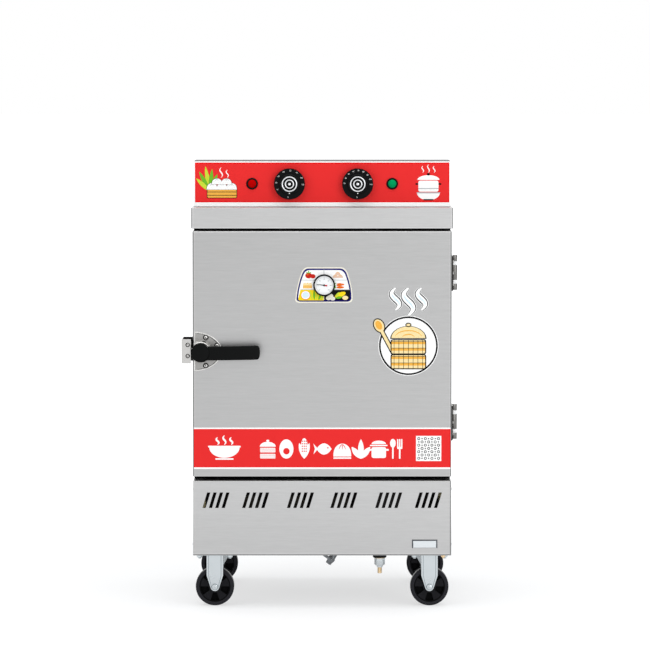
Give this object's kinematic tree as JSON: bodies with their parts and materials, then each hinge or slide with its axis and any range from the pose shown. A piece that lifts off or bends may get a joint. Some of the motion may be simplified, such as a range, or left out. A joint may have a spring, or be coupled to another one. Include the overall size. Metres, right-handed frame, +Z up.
{
  "type": "rice steamer cabinet",
  "caption": "Insulated steel steaming cabinet on casters, with trays on racks, a water tank with heaters, a latched door, a skirt and a control housing on the roof.",
  "frame": {"origin": "on the floor, below the middle of the whole object's bounding box", "axes": "+X to the right as seen from the front, +Y to the back, +Z up; the door faces -Y"},
  "size_m": [0.7258, 0.6334, 1.1778],
  "materials": {
    "stainless": "horizontal brushed stainless sheet",
    "bright_stainless": "polished stainless",
    "zinc": "bright zinc plated pressed steel",
    "brass": "turned brass",
    "black_plastic": "black phenolic plastic",
    "wheel_tread": "black solid wheel",
    "foam": null,
    "silicone": "grey silicone",
    "red_lens": "clear red moulded lens",
    "green_lens": "clear green moulded lens",
    "needle_paint": "red painted needle"
  },
  "bodies": {
    "cabinet": {"back_panel": "stainless", "base_pan": "stainless", "cable_gland": "black_plastic", "caster_front_left_fork": "zinc", "caster_front_right_fork": "zinc", "caster_rear_left_plate": "zinc", "caster_rear_right_plate": "zinc", "chamber_liner": "stainless", "control_housing": "stainless", "drain_valve": "bright_stainless", "earth_bolt": "brass", "float_box": "stainless", "float_valve": "brass", "front_frame": "stainless", "heating_element_1": "bright_stainless", "heating_element_2": "bright_stainless", "heating_element_3": "bright_stainless", "hinge_lower_body_leaf": "bright_stainless", "hinge_upper_body_leaf": "bright_stainless", "insulation": "foam", "lamp_green": "green_lens", "lamp_red": "red_lens", "latch_keeper": "bright_stainless", "rack_left": "stainless", "rack_right": "stainless", "side_panel_left": "stainless", "side_panel_right": "stainless", "skirt_panel": "stainless", "steam_outlet": "bright_stainless", "thermostat": "black_plastic", "timer": "black_plastic", "top_cap": "stainless", "tray_1": "bright_stainless", "tray_2": "bright_stainless", "tray_3": "bright_stainless", "tray_4": "bright_stainless", "tray_5": "bright_stainless", "tray_6": "bright_stainless", "water_tank": "stainless"},
    "door": {"door_outer": "stainless", "door_inner": "stainless", "door_insulation": "foam", "door_gasket": "silicone", "hinge_upper_door_leaf": "bright_stainless", "hinge_lower_door_leaf": "bright_stainless", "latch_plate": "bright_stainless", "thermometer_case": "black_plastic"},
    "latch": {"latch_lever": "black_plastic", "latch_tongue": "bright_stainless"},
    "needle": {"thermometer_needle": "needle_paint"},
    "timer_control": {"timer_knob": "black_plastic"},
    "thermostat_control": {"thermostat_knob": "black_plastic"},
    "float": {"float_arm": "bright_stainless"},
    "drain_handle": {"drain_lever": "zinc"},
    "wheel_front_left": {"caster_front_left_wheel": "wheel_tread"},
    "wheel_front_right": {"caster_front_right_wheel": "wheel_tread"},
    "swivel_rear_left": {"caster_rear_left_fork": "zinc"},
    "wheel_rear_left": {"caster_rear_left_wheel": "wheel_tread"},
    "swivel_rear_right": {"caster_rear_right_fork": "zinc"},
    "wheel_rear_right": {"caster_rear_right_wheel": "wheel_tread"}
  },
  "joints": [
    {"name": "door_hinge", "type": "hinge", "parent": "cabinet", "child": "door", "pos_m": [0.3551, -0.2163, 0.3485], "axis": [0, 0, 1], "range_deg": [0, 180]},
    {"name": "latch_turn", "type": "hinge", "parent": "door", "child": "latch", "pos_m": [-0.3115, -0.2857, 0.6794], "axis": [0, -1, 0], "range_deg": [0, 90]},
    {"name": "needle_turn", "type": "hinge", "parent": "door", "child": "needle", "pos_m": [0.0121, -0.2709, 0.8535], "axis": [0, 1, 0], "range_deg": [-45, 225]},
    {"name": "timer_turn", "type": "hinge", "parent": "cabinet", "child": "timer_control", "pos_m": [-0.0792, -0.2091, 1.11755], "axis": [0, 1, 0], "range_deg": [0, 300]},
    {"name": "thermostat_turn", "type": "hinge", "parent": "cabinet", "child": "thermostat_control", "pos_m": [0.1003, -0.2091, 1.11755], "axis": [0, 1, 0], "range_deg": [0, 270]},
    {"name": "float_swing", "type": "hinge", "parent": "cabinet", "child": "float", "pos_m": [0.1588, -0.2471, 0.3005], "axis": [0, 1, 0], "range_deg": [-5, 30]},
    {"name": "drain_lever_turn", "type": "hinge", "parent": "cabinet", "child": "drain_handle", "pos_m": [0.0307, -0.1731, 0.11558], "axis": [0, -1, 0], "range_deg": [0, 90]},
    {"name": "front_left_wheel_spin", "type": "hinge", "parent": "cabinet", "child": "wheel_front_left", "pos_m": [-0.2772, -0.2043, 0.0508], "axis": [0, 1, 0], "continuous": true},
    {"name": "front_right_wheel_spin", "type": "hinge", "parent": "cabinet", "child": "wheel_front_right", "pos_m": [0.2908, -0.2043, 0.0508], "axis": [0, 1, 0], "continuous": true},
    {"name": "rear_left_swivel", "type": "hinge", "parent": "cabinet", "child": "swivel_rear_left", "pos_m": [-0.2472, 0.2287, 0.1279], "axis": [0, 0, 1], "continuous": true},
    {"name": "rear_left_wheel_spin", "type": "hinge", "parent": "swivel_rear_left", "child": "wheel_rear_left", "pos_m": [-0.2772, 0.2287, 0.0508], "axis": [0, 1, 0], "continuous": true},
    {"name": "rear_right_swivel", "type": "hinge", "parent": "cabinet", "child": "swivel_rear_right", "pos_m": [0.2608, 0.2287, 0.1279], "axis": [0, 0, 1], "continuous": true},
    {"name": "rear_right_wheel_spin", "type": "hinge", "parent": "swivel_rear_right", "child": "wheel_rear_right", "pos_m": [0.2908, 0.2287, 0.0508], "axis": [0, 1, 0], "continuous": true}
  ]
}
